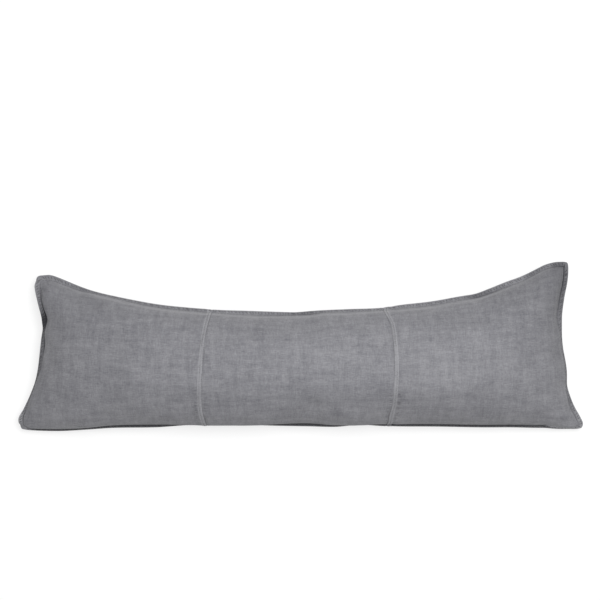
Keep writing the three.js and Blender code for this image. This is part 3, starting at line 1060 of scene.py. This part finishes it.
@dataclass
class LinenCase:
    """The sewn and filled case: three face panels, a plain back, felled panel seams and the self flange."""

    form: PillowForm
    finish: LinenFinish = LinenFinish()
    seam: FelledSeam = FelledSeam()
    name: str = "linen_case"
    end_step: float = 0.0075
    end_closeness: float = 1.2
    panel_step: float = 0.0085
    row_count: int = 44
    flange_rows: tuple[float, ...] = (1.04, 0.9, 0.7, 0.42, 0.16)
    lying_height: float = 0.001
    swell_frames: int = 20
    swell_quality: int = 6
    swell_pressure: float = 4.0
    swell_stretch: float = 0.012
    swell_stiffness: float = 0.3
    swell_cap: float = 0.006
    seam_hold: float = 0.2
    inside_slope: float = 2.0
    waves: tuple[SoftWave, ...] = (
        SoftWave((0.13, 0.10, 0.13), 1.0, 0.0016),
        SoftWave((0.05, 0.04, 0.05), 9.0, 0.0008),
    )
    calm_height: float = 0.01
    flange_root: Bump = Bump(0.05, 0.10, 0.0005)
    flange_row: Bump = Bump(0.74, 0.07, 0.00045)
    edge_reach: float = 0.8
    face_width: float = 0.24
    end_room: float = 0.003
    # A paler line on the face where it turns in to the top seam.
    turned_wear: Bump = Bump(0.0012, 0.0011, 0.5)
    dents: tuple[SoftPatch, ...] = (
        SoftPatch(0.371, 0.059, 8, 0.045, 0.013, 0.0028),
        SoftPatch(-0.571, -0.155, -32, 0.012, 0.003, 0.0012),
        SoftPatch(0.538, 0.045, 88, 0.055, 0.008, 0.0030),
        SoftPatch(-0.548, 0.121, 40, 0.007, 0.004, 0.0030),
    )
    # Oval patches where the face is painted darker (negative amounts) or paler (positive amounts).
    fades: tuple[SoftPatch, ...] = (
        SoftPatch(0.290, -0.036, 0, 0.21, 0.034, 0.11),
        SoftPatch(0.160, -0.100, 0, 0.30, 0.018, -0.09),
        SoftPatch(-0.371, -0.043, 90, 0.10, 0.034, -0.10),
        SoftPatch(0.450, 0.105, 25, 0.06, 0.030, -0.09),
        SoftPatch(0.324, 0.055, 10, 0.05, 0.020, -0.08),
        SoftPatch(-0.459, 0.096, -15, 0.06, 0.030, -0.06),
        SoftPatch(-0.190, -0.092, 0, 0.20, 0.022, -0.05),
        SoftPatch(0.030, -0.152, 0, 0.34, 0.012, -0.05),
        SoftPatch(0.500, -0.060, 0, 0.06, 0.034, 0.05),
    )
    # How the edges' painted shade lies: slanted, falling off over the face, with its own value at the
    # flange's root, lifted towards the bottom flange's edge and on seam bands, and halved on the back.
    shade_slant: float = 0.024
    fall_reach: float = 0.045
    root_shade: Bump = Bump(0.03, 0.22)
    lift_start: float = 0.42
    lift_reach: float = 0.5
    edge_lift: float = 0.62
    band_lift: float = 0.6
    back_shade: float = 0.5
    # Painted shade along each edge; a flange value below 0 paints the flange paler instead, as painted
    # light.
    bottom_shade: tuple[EdgeShade, ...] = (
        EdgeShade(-0.590, -0.3, 0.3),
        EdgeShade(-0.578, -0.2, 0.25),
        EdgeShade(-0.566, 0.75, 0.75),
        EdgeShade(-0.554, 0.87, 0.90),
        EdgeShade(-0.540, 0.87, 0.90),
        EdgeShade(0.430, 0.87, 0.90),
        EdgeShade(0.470, 0.87, 0.90),
        EdgeShade(0.500, 0.70, 0.78),
        EdgeShade(0.522, 0.70, 0.80),
        EdgeShade(0.534, -0.2, 0.0),
        EdgeShade(0.600, -0.4, 0.0),
    )
    top_shade: tuple[EdgeShade, ...] = (
        EdgeShade(-0.560, -0.2, 0.0, 0.04),
        EdgeShade(-0.510, -0.1, 0.05, 0.06),
        EdgeShade(-0.475, 0.06, 0.2, 0.08),
        EdgeShade(-0.440, 0.04, 0.2, 0.06),
        EdgeShade(-0.300, 0.0, 0.15),
        EdgeShade(-0.040, 0.0, 0.2),
        EdgeShade(-0.012, 0.24, 0.4),
        EdgeShade(0.024, 0.20, 0.4),
        EdgeShade(0.070, -0.1, 0.1),
        EdgeShade(0.250, -0.1, 0.15),
        EdgeShade(0.340, 0.04, 0.2),
        EdgeShade(0.370, 0.34, 0.6),
        EdgeShade(0.400, 0.18, 0.5),
        EdgeShade(0.440, 0.08, 0.3),
        EdgeShade(0.468, 0.04, 0.15, 0.06),
        EdgeShade(0.490, 0.30, 0.4, 0.12),
        EdgeShade(0.520, 0.12, 0.35, 0.10),
        EdgeShade(0.545, 0.40, 0.7, 0.18),
        EdgeShade(0.560, 0.42, 0.9, 0.28),
    )
    left_shade: tuple[EdgeShade, ...] = (
        EdgeShade(-0.175, 0.5, 0.8),
        EdgeShade(-0.163, -0.3, 0.4),
        EdgeShade(-0.149, -0.7, 1.0),
        EdgeShade(-0.138, -0.3, 0.7),
        EdgeShade(-0.120, 0.0, 0.4),
        EdgeShade(-0.100, 0.40, 0.30),
        EdgeShade(-0.060, 0.36, 0.30),
        EdgeShade(-0.020, 0.34, 0.40),
        EdgeShade(0.005, 0.36, 0.95),
        EdgeShade(0.030, 0.58, 0.60),
        EdgeShade(0.050, 0.85, 0.95),
        EdgeShade(0.064, 0.80, 1.0),
        EdgeShade(0.080, 0.28, 1.0),
        EdgeShade(0.106, 0.0, 0.70),
        EdgeShade(0.122, -0.05, 0.16),
        EdgeShade(0.140, -0.15, 0.05),
    )
    right_shade: tuple[EdgeShade, ...] = (
        EdgeShade(-0.170, -0.60, 0.0),
        EdgeShade(-0.150, -0.4, 0.5),
        EdgeShade(-0.136, 0.06, 0.4),
        EdgeShade(-0.118, 0.16, 0.4),
        EdgeShade(-0.090, 0.10, 0.20, 0.02),
        EdgeShade(-0.050, 0.18, 0.20, 0.12),
        EdgeShade(0.020, 0.18, 0.20, 0.18),
        EdgeShade(0.060, 0.14, 0.30, 0.22),
        EdgeShade(0.090, 0.26, 0.60, 0.26),
        EdgeShade(0.120, 0.34, 0.95, 0.30),
        EdgeShade(0.160, 0.36, 1.0, 0.36),
        EdgeShade(0.175, 0.20, 0.95, 0.36),
    )
    panel_gap: float = 0.3
    back_gap: float = 0.5
    shift: np.ndarray = field(default_factory=lambda: np.zeros(3))

    def stations(self) -> np.ndarray:
        """Work out the stations along the length.

        Returns:
            A row each of the place along and the place on an end's flange.
        """
        left, left_seam, right_seam, right = self.form.middle_ribs
        end_round = self.form.end_round
        end_count = round(self.end_closeness * end_round / self.end_step)
        rounds = end_round * (1 - np.cos(np.linspace(0, math.pi / 2, end_count + 1)))
        bands = np.array(self.seam.rows)

        def between(start: float, stop: float) -> np.ndarray:
            """Return evenly spaced places between two others, without them."""
            count = max(2, round((stop - start) / self.panel_step))
            return np.linspace(start, stop, count + 1)[1:-1]

        body = np.concatenate(
            (
                left + rounds,
                between(left + end_round, left_seam - bands[-1]),
                left_seam - bands[::-1],
                between(left_seam - bands[0], right_seam + bands[0]),
                right_seam + bands,
                between(right_seam + bands[-1], right - end_round),
                right - rounds[::-1],
            )
        )
        return self.with_flanges(body)

    def rows(self) -> np.ndarray:
        """Return the rows across: a row each of the half turn's share and the place on a long flange."""
        return self.with_flanges(np.linspace(0, 1, self.row_count + 1))

    def with_flanges(self, places: np.ndarray) -> np.ndarray:
        """Add the rows of the flange outside the first and the last place.

        Args:
            places: places from one edge seam to the other.

        Returns:
            A row each of the place and how far out it lies on a flange.
        """
        before = [(places[0], -share) for share in self.flange_rows]
        after = [(places[-1], share) for share in self.flange_rows[::-1]]
        return np.array([*before, *((place, 0.0) for place in places), *after])

    def build(self) -> bpy.types.Object:
        """Cut, sew and fill the case.

        Returns:
            The finished case, riding on the frame.
        """
        case = self.lay_out()
        self.measure_cloth(case)
        self.swell(case)
        self.refine(case)
        self.sew(case)
        self.lay_cloth(case)
        self.clear_marks(case.data)
        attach(case, BODY)
        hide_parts(NODE)
        return case

    def lay_out(self) -> bpy.types.Object:
        """Make two grids joined round their rims, and move their points to the pillow's form.

        Returns:
            The case as an object, whose points keep their places on the cloth as attributes.
        """
        stations, rows = self.stations(), self.rows()
        cells = {"x_segments": len(stations) - 1, "y_segments": len(rows) - 1}
        shape = bmesh.new()
        for side in Side:
            bmesh.ops.create_grid(shape, size=0.5, matrix=Matrix.Translation((0, 0, side.value)), **cells)
        bmesh.ops.bridge_loops(shape, edges=[edge for edge in shape.edges if edge.is_boundary])
        bmesh.ops.recalc_face_normals(shape, faces=shape.faces)
        case = new_object(self.name, shape, self.finish.make())
        grid = read_points(case.data)
        station = np.rint((grid[:, 0] + 0.5) * cells["x_segments"]).astype(int)
        row = np.rint((grid[:, 1] + 0.5) * cells["y_segments"]).astype(int)
        (along, end_flange), (turn, long_flange) = stations[station].T, rows[row].T
        spots = Spots(along, turn, end_flange, long_flange, np.sign(grid[:, 2]))
        for column in fields(spots):
            store(case.data, column.name, getattr(spots, column.name))
        for name, values in zip(GRID_MARKS, (station, row)):
            store(case.data, name, values)
        points = self.form.place(spots)
        self.shift = self.offset(points)
        write_points(case.data, points + self.shift)
        return case

    @staticmethod
    def offset(points: np.ndarray) -> np.ndarray:
        """Work out the shift that takes the form's box to the frame's.

        Args:
            points: the form's points.

        Returns:
            The shift along the three axes.
        """
        low, high = (np.array(corner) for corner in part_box(NODE))
        shift = (low + high) / 2 - (points.min(axis=0) + points.max(axis=0)) / 2
        shift[2] = low[2] - points[:, 2].min()
        return shift

    @staticmethod
    def measure_cloth(case: bpy.types.Object) -> None:
        """Keep how far each point lies from the cloth's middle, measured along its row and its station.

        Args:
            case: the laid out case.
        """
        points = read_points(case.data)
        station, row = (recall(case.data, name).astype(int) for name in GRID_MARKS)
        side = Spots.of(case.data).side
        measures = np.zeros((2, len(points)))
        for kept in Side:
            chosen = side == kept.value
            grid = np.zeros((station.max() + 1, row.max() + 1, 3))
            grid[station[chosen], row[chosen]] = points[chosen]
            for axis, far in enumerate(measures):
                lengths = np.linalg.norm(np.diff(grid, axis=axis), axis=2)
                pad = [(1, 0), (0, 0)] if axis == 0 else [(0, 0), (1, 0)]
                sums = np.cumsum(np.pad(lengths, pad), axis=axis)
                middle = [sums.shape[axis] // 2]
                start = np.take(grid, middle, axis=axis)[..., axis]
                from_middle = sums - np.take(sums, middle, axis=axis) + start
                far[chosen] = from_middle[station[chosen], row[chosen]]
        for name, far in zip(CLOTH_MARKS, measures):
            store(case.data, name, far)

    def inside(self, spots: Spots) -> np.ndarray:
        """Return shares that rise from 0 at the edge seams to 1 well inside them."""
        return np.clip(self.inside_slope * spots.turn_rise * self.form.rise(spots.along), 0, 1)

    def swell(self, case: bpy.types.Object) -> None:
        """Swell the cloth between its seams by simulation, and hold how far it may move.

        Args:
            case: the laid out case, whose points are moved.
        """
        mesh = case.data
        start = read_points(mesh)
        spots = Spots.of(mesh)
        sewn = (spots.flange > 0) | (self.form.rise(spots.along) == 0) | spots.on_long_seam
        lying = start[:, 2] < start[:, 2].min() + self.lying_height
        pins = case.vertex_groups.new(name="sewn")
        pins.add(np.flatnonzero(sewn | lying).tolist(), 1.0, "REPLACE")
        cloth = case.modifiers.new("swell", "CLOTH")
        cloth.settings.quality = self.swell_quality
        cloth.settings.use_pressure = True
        cloth.settings.uniform_pressure_force = self.swell_pressure
        cloth.settings.vertex_group_mass = pins.name
        cloth.settings.effector_weights.gravity = 0
        cloth.settings.shrink_min = -self.swell_stretch
        cloth.settings.bending_stiffness = self.swell_stiffness
        cloth.collision_settings.use_collision = False
        cloth.point_cache.frame_end = self.swell_frames
        scene = bpy.context.scene
        for number in range(1, self.swell_frames + 1):
            scene.frame_set(number)
        swollen = case.evaluated_get(bpy.context.evaluated_depsgraph_get())
        move = read_points(swollen.data) - start
        case.modifiers.remove(cloth)
        case.vertex_groups.remove(pins)
        scene.frame_set(1)
        reach = np.linalg.norm(move, axis=1)
        cap = self.swell_cap * (self.seam_hold + (1 - self.seam_hold) * self.inside(spots))
        held = cap * np.tanh(reach / cap) / np.maximum(reach, TINY)
        write_points(mesh, start + move * held[:, None])
        mean, most = reach.mean() * 1e3, reach.max() * 1e3
        log.info("swelling: mean %.1f mm, most %.1f mm before the cap", mean, most)

    @staticmethod
    def refine(case: bpy.types.Object) -> None:
        """Subdivide the case's mesh once, smoothly.

        Args:
            case: the swollen case, which gets a finer mesh.
        """
        smooth = case.modifiers.new("refine", "SUBSURF")
        smooth.levels = 1
        smooth.render_levels = 1
        fine = bpy.data.meshes.new_from_object(case.evaluated_get(bpy.context.evaluated_depsgraph_get()))
        coarse = case.data
        case.modifiers.clear()
        case.data = fine
        bpy.data.meshes.remove(coarse)
        fine.name = case.name
        fine.shade_smooth()

    def sew(self, case: bpy.types.Object) -> None:
        """Raise the sewing in the cloth, and mark its wear, its painted shade and light, and its painted
        gathering shade.

        Args:
            case: the refined case, whose points are moved.
        """
        mesh = case.data
        points, normals = read_points(mesh), read_normals(mesh)
        spots = Spots.of(mesh)
        out = self.out_from_seam(spots.along)
        face_relief = self.seam.relief(out, self.near_edge(spots), points)
        face_relief -= sum(dent.over(points) for dent in self.dents)
        free = self.inside(spots) * (spots.flange == 0) * (points[:, 2] > self.calm_height)
        uneven = sum(wave.over(points) for wave in self.waves) * free
        pressed = np.where(spots.flange > 0, self.flange_root.over(spots.flange), 0)
        pressed += self.flange_row.over(spots.flange)
        move = np.where(spots.side > 0, face_relief, 0) + uneven - pressed
        sewn = points + normals * move[:, None]
        sewn[:, 2] = np.maximum(sewn[:, 2], 0)
        write_points(mesh, sewn)
        on_panel = (spots.side > 0) & (spots.flange == 0)
        patched_tone = sum(patch.over(points) for patch in self.fades)
        # Painted shade, less the tone patches; below 0 the cloth is painted paler through the wear mark:
        # painted light on flange tips.
        shade = self.creased(spots, points - self.shift, out) - np.where(on_panel, patched_tone, 0)
        store(mesh, WORN_AND_PAINTED_LIGHT, self.worn(spots, out) + np.clip(-shade, 0, 1))
        store(mesh, PAINTED_SHADE, np.clip(shade, 0, 1))
        store(mesh, PAINTED_GATHER_SHADE, np.where(on_panel, self.seam.gathered(out, spots.across), 0))

    def out_from_seam(self, along: np.ndarray) -> np.ndarray:
        """Return how far places along the length lie outside the nearer panel seam."""
        _, left_seam, right_seam, _ = self.form.middle_ribs
        return np.where(along < 0, left_seam - along, along - right_seam)

    def near_edge(self, spots: Spots) -> np.ndarray:
        """Return shares that rise from 0 on the open face to 1 at the long seams."""
        return np.clip(1 - spots.turn_rise / self.edge_reach, 0, 1)

    def worn(self, spots: Spots, out: np.ndarray) -> np.ndarray:
        """Work out how pale the cloth is: worn on the felled seams, and paler where it turns in to the top
        seam.

        Args:
            spots: the places on the cloth.
            out: how far they lie outside the nearer panel seam.

        Returns:
            Shares from 0.
        """
        from_top = (1 - spots.across) * self.face_width + self.end_room * (1 - self.form.rise(spots.along))
        turned = np.where(spots.flange > 0, 0, self.turned_wear.over(from_top))
        return np.where(spots.side > 0, self.seam.wear(out) + turned, 0)

    def creased(self, spots: Spots, points: np.ndarray, out: np.ndarray) -> np.ndarray:
        """Work out the painted shade beside a felled seam, on the flange, at its root and beside the edges.

        Args:
            spots: the places on the cloth.
            points: where they lie in the form's own place.
            out: how far they lie outside the nearer panel seam.

        Returns:
            Shares up to 1, below 0 where the cloth is painted paler instead, as painted light.
        """
        x, y, _ = points.T
        slanted = x - self.shade_slant * (np.abs(spots.long_flange) - 0.5)
        bottom, top, left, right = (
            SmoothTable(shades, "at").read(at)
            for shades, at in (
                (self.bottom_shade, slanted),
                (self.top_shade, x),
                (self.left_shade, y),
                (self.right_shade, y),
            )
        )
        edge, end = either(spots.below, bottom, top), either(spots.along < 0, left, right)
        end_share, edge_share = np.abs(spots.end_flange), np.abs(spots.long_flange)
        share = end_share / np.maximum(end_share + edge_share, TINY)
        dark, root = (end[name] * share + edge[name] * (1 - share) for name in ("flange", "root"))
        on_flange = spots.flange > 0
        flange = np.where(on_flange, dark + (root - dark) * self.root_shade.over(spots.flange), 0)
        outer = np.clip((spots.flange - self.lift_start) / self.lift_reach, 0, 1)
        lifted = outer * (1 - share) * (spots.below & (flange > 0))
        flange *= (1 - self.edge_lift * lifted) * (1 - self.band_lift * self.seam.worn_band(out))
        from_edge = np.minimum(spots.across, 1 - spots.across) * self.face_width
        end_fall = end["fall"] * np.exp(-self.form.from_end(spots.along) / self.fall_reach)
        edge_fall = edge["fall"] * np.exp(-from_edge / self.fall_reach)
        panel = self.seam.shade(out, self.near_edge(spots), spots.below) + np.maximum(end_fall, edge_fall)
        return np.where(spots.side > 0, np.where(on_flange, flange, panel), flange * self.back_shade)

    def lay_cloth(self, case: bpy.types.Object) -> None:
        """Give the case a map of its cut cloth: the face panels and the back, apart from each other.

        Args:
            case: the sewn case.
        """
        mesh = case.data
        spots = Spots.of(mesh)
        _, left_seam, right_seam, _ = self.form.middle_ribs
        corners = np.zeros(len(mesh.loops), np.int32)
        mesh.loops.foreach_get("vertex_index", corners)
        starts = np.zeros(len(mesh.polygons), np.int32)
        mesh.polygons.foreach_get("loop_start", starts)
        counts = np.diff(np.append(starts, len(corners)))
        face_of = np.repeat(np.arange(len(starts)), counts)
        along, side = (np.bincount(face_of, each[corners]) / counts for each in (spots.along, spots.side))
        panel = np.sign(along) * ((along < left_seam) | (along > right_seam))
        shift_along = np.where(side > 0, panel * self.panel_gap, 0)
        shift_across = np.where(side > 0, 0, self.back_gap)
        places = np.stack([recall(mesh, name)[corners] for name in CLOTH_MARKS], axis=1)
        places += np.stack((shift_along, shift_across), axis=1)[face_of]
        layer = mesh.uv_layers.new(name=UV_MAP)
        layer.uv.foreach_set("vector", places.astype(np.float32).ravel())

    @staticmethod
    def clear_marks(mesh: bpy.types.Mesh) -> None:
        """Take off the marks that only the making needed."""
        for name in (*(column.name for column in fields(Spots)), *GRID_MARKS, *CLOTH_MARKS):
            mesh.attributes.remove(mesh.attributes[name])


@dataclass
class Needlework:
    """Stitches on their way into a mesh: the mesh, one stitch of length 1 and the cloth's surface."""

    shape: bmesh.types.BMesh
    thread: bpy.types.Mesh
    ground: BVHTree

    def lay_stitch(self, first: Vector, last: Vector, thickness: float) -> None:
        """Add one stitch between two points, laid on the cloth.

        Args:
            first: where the stitch comes up.
            last: where it goes down.
            thickness: of the thread.
        """
        spot, square, _, _ = self.ground.find_nearest((first + last) / 2)
        beside = square.cross(last - first).normalized()
        ahead = beside.cross(square)
        turned = Matrix((ahead, beside, square)).transposed().to_4x4()
        sizes = Matrix.Diagonal(((last - first).length, thickness, thickness, 1))
        stitch = self.thread.copy()
        stitch.transform(Matrix.Translation(spot) @ turned @ sizes)
        self.shape.from_mesh(stitch)
        bpy.data.meshes.remove(stitch)


@dataclass
class Stitching:
    """Rows of sewing thread: at the flange's root, whipped over its width, and along the felled seams."""

    form: PillowForm
    finish: ThreadFinish = ThreadFinish()
    name: str = "linen_stitching"
    flange_share: float = 0.08
    flange_pitch: float = 0.0064
    whip_shares: tuple[float, ...] = (0.30, 0.92)
    whip_slant: float = 0.004
    band_out: float = 0.0048
    band_pitch: float = 0.0045
    band_ends: float = 0.012
    length_share: float = 0.55
    thickness: float = 0.0009
    thread_sides: int = 6
    thread_rings: int = 5
    whip_thickness: float = 0.0016
    unevenness: float = 0.35
    uneven_steps: tuple[float, float] = (7.3, 3.1)
    samples: int = 900

    def edge_path(self, share: float, side: Side) -> Spots:
        """Work out the spots of a row that runs all round the flange.

        Args:
            share: how far out it runs on the flange.
            side: the face of the case that it lies on.

        Returns:
            The spots, in their order along the row.
        """
        left, _, _, right = self.form.middle_ribs
        count = self.samples
        way, turned = np.linspace(left, right, count), np.linspace(0, 1, count)
        still, out = np.full(count, share), np.zeros(count)
        legs = (
            (way, out, out, -still),
            (np.full(count, right), turned, still, out),
            (way[::-1], out + 1, out, still),
            (np.full(count, left), turned[::-1], -still, out),
        )
        along, turn, end_flange, long_flange = (np.concatenate(part) for part in zip(*legs))
        return Spots(along, turn, end_flange, long_flange, np.full(len(along), side.value))

    def band_path(self, seam: float, outward: float) -> Spots:
        """Work out the spots of a row along a felled seam, beside its ditch.

        Args:
            seam: where the seam lies along the length.
            outward: -1 for the left seam and 1 for the right one.

        Returns:
            The spots, in their order along the row.
        """
        turn = np.linspace(self.band_ends, 1 - self.band_ends, self.samples)
        nothing = np.zeros(self.samples)
        along = np.full(self.samples, seam + outward * self.band_out)
        return Spots(along, turn, nothing, nothing, nothing + Side.FACE.value)

    def build(self, case: bpy.types.Object, offset: np.ndarray) -> bpy.types.Object:
        """Sew every row onto the case.

        Args:
            case: the finished case.
            offset: the shift from the form's own place to the frame's.

        Returns:
            All the stitches, joined in one object that rides on the frame.
        """
        ground = BVHTree.FromObject(case, bpy.context.evaluated_depsgraph_get())
        work = Needlework(bmesh.new(), self.one_stitch(), ground)
        _, left_seam, right_seam, _ = self.form.middle_ribs
        rows = [(self.edge_path(self.flange_share, side), self.flange_pitch) for side in Side]
        for seam, outward in ((left_seam, -1), (right_seam, 1)):
            rows.append((self.band_path(seam, outward), self.band_pitch))
        for spots, pitch in rows:
            self.sew_row(work, self.form.place(spots) + offset, pitch)
        for side in Side:
            paths = [self.form.place(self.edge_path(share, side)) + offset for share in self.whip_shares]
            self.whip_row(work, *paths)
        bpy.data.meshes.remove(work.thread)
        stitching = new_object(self.name, work.shape, self.finish.make())
        self.shade_thread(stitching, case, ground)
        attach(stitching, BODY)
        return stitching

    def one_stitch(self) -> bpy.types.Mesh:
        """Make a stitch of length 1, a thread that dives into the cloth at both ends.

        Returns:
            Its mesh.
        """
        shape = bmesh.new()
        bmesh.ops.create_uvsphere(
            shape, u_segments=self.thread_sides, v_segments=self.thread_rings, radius=0.5
        )
        bmesh.ops.rotate(shape, verts=shape.verts, matrix=Matrix.Rotation(math.pi / 2, 3, "Y"))
        mesh = bpy.data.meshes.new("one_stitch")
        shape.to_mesh(mesh)
        shape.free()
        return mesh

    def sew_row(self, work: Needlework, path: np.ndarray, pitch: float) -> None:
        """Add one row of stitches along a path.

        Args:
            work: what takes the stitches.
            path: points of the row.
            pitch: distance from one stitch to the next.
        """
        travelled = self.travelled(path)
        for place in np.arange(pitch / 2, travelled[-1], pitch):
            reach = pitch * self.length_share / 2
            first, last = (self.point_at(path, travelled, place + step) for step in (-reach, reach))
            work.lay_stitch(first, last, self.thickness)

    def whip_row(self, work: Needlework, inner: np.ndarray, outer: np.ndarray) -> None:
        """Add a row of slanting stitches from one path to another.

        Args:
            work: what takes the stitches.
            inner: points of the path on which they start.
            outer: points of the path on which they end.
        """
        travelled = self.travelled(inner)
        places = np.arange(self.flange_pitch, travelled[-1] - 2 * self.whip_slant, self.flange_pitch)
        swing = np.sin(np.outer(self.uneven_steps, np.arange(len(places)) ** 2))
        for start, stop in (places + self.flange_pitch * self.unevenness * swing).T:
            first = self.point_at(inner, travelled, start)
            last = self.point_at(outer, travelled, stop + self.whip_slant)
            work.lay_stitch(first, last, self.whip_thickness)

    @staticmethod
    def shade_thread(stitching: bpy.types.Object, case: bpy.types.Object, ground: BVHTree) -> None:
        """Give the thread the painted shade of the cloth under it.

        Args:
            stitching: all the stitches.
            case: the finished case.
            ground: the case's surface.
        """
        cloth_shade = recall(case.data, PAINTED_SHADE)
        under = [ground.find_nearest(point.co)[2] for point in stitching.data.vertices]
        first_corner = [case.data.polygons[face].vertices[0] for face in under]
        store(stitching.data, PAINTED_SHADE, cloth_shade[first_corner])

    @staticmethod
    def travelled(path: np.ndarray) -> np.ndarray:
        """Return how far along a path each of its points lies."""
        return np.concatenate(([0.0], np.cumsum(np.linalg.norm(np.diff(path, axis=0), axis=1))))

    @staticmethod
    def point_at(path: np.ndarray, travelled: np.ndarray, place: float) -> Vector:
        """Return the point of a path at a distance along it."""
        return Vector([np.interp(place, travelled, path[:, axis]) for axis in range(3)])


@dataclass(frozen=True)
class Studio:
    """A plain pale floor, soft light from above the top edge, and a camera straight over the face."""

    camera_place: tuple[float, float, float] = (-0.0019, 0.0988, 3.05)
    lens: float = 85.0
    sensor: float = 36.0
    floor_size: float = 12.0
    key_place: tuple[float, float, float] = (0.38, 0.46, 2.9)
    key_size: float = 1.4
    key_power: float = 92.0
    sky: float = 0.38

    def build(self) -> None:
        """Set up the camera, the floor and the lights."""
        self.place_camera()
        self.lay_floor()
        self.hang_lights()

    def place_camera(self) -> None:
        """Hang the camera over the pillow's face, looking straight down with +Y upwards in the picture."""
        lens = bpy.data.cameras.new("camera")
        lens.lens = self.lens
        lens.sensor_width = self.sensor
        camera = bpy.data.objects.new("camera", lens)
        camera.location = self.camera_place
        bpy.context.scene.collection.objects.link(camera)
        bpy.context.scene.camera = camera

    def lay_floor(self) -> None:
        """Lay the floor under the pillow."""
        shape = bmesh.new()
        bmesh.ops.create_grid(shape, x_segments=1, y_segments=1, size=self.floor_size / 2)
        floor = new_object("floor", shape, FloorFinish().make())

    def hang_lights(self) -> None:
        """Light the face with one large soft light and a pale sky."""
        scene = bpy.context.scene
        scene.view_settings.view_transform = "Standard"
        light = bpy.data.lights.new("key", "AREA")
        light.energy = self.key_power
        light.size = self.key_size
        key = bpy.data.objects.new("key", light)
        key.location = self.key_place
        key.rotation_euler = (-Vector(self.key_place)).to_track_quat("-Z", "Y").to_euler()
        scene.collection.objects.link(key)
        world = bpy.data.worlds.new("studio")
        world.use_nodes = True
        sky = world.node_tree.nodes["Background"].inputs
        sky["Color"].default_value = grey(1.0)
        sky["Strength"].default_value = self.sky
        scene.world = world


def main() -> None:
    """Build the studio, the case and its stitching, and report each piece."""
    logging.basicConfig(level=logging.INFO, format="%(message)s")
    Studio().build()
    form = PillowForm()
    linen_case = LinenCase(form)
    case = linen_case.build()
    stitching = Stitching(form).build(case, linen_case.shift)
    for piece in (case, stitching):
        log.info("%s: %d points", piece.name, len(piece.data.vertices))


if __name__ == "__main__":
    main()
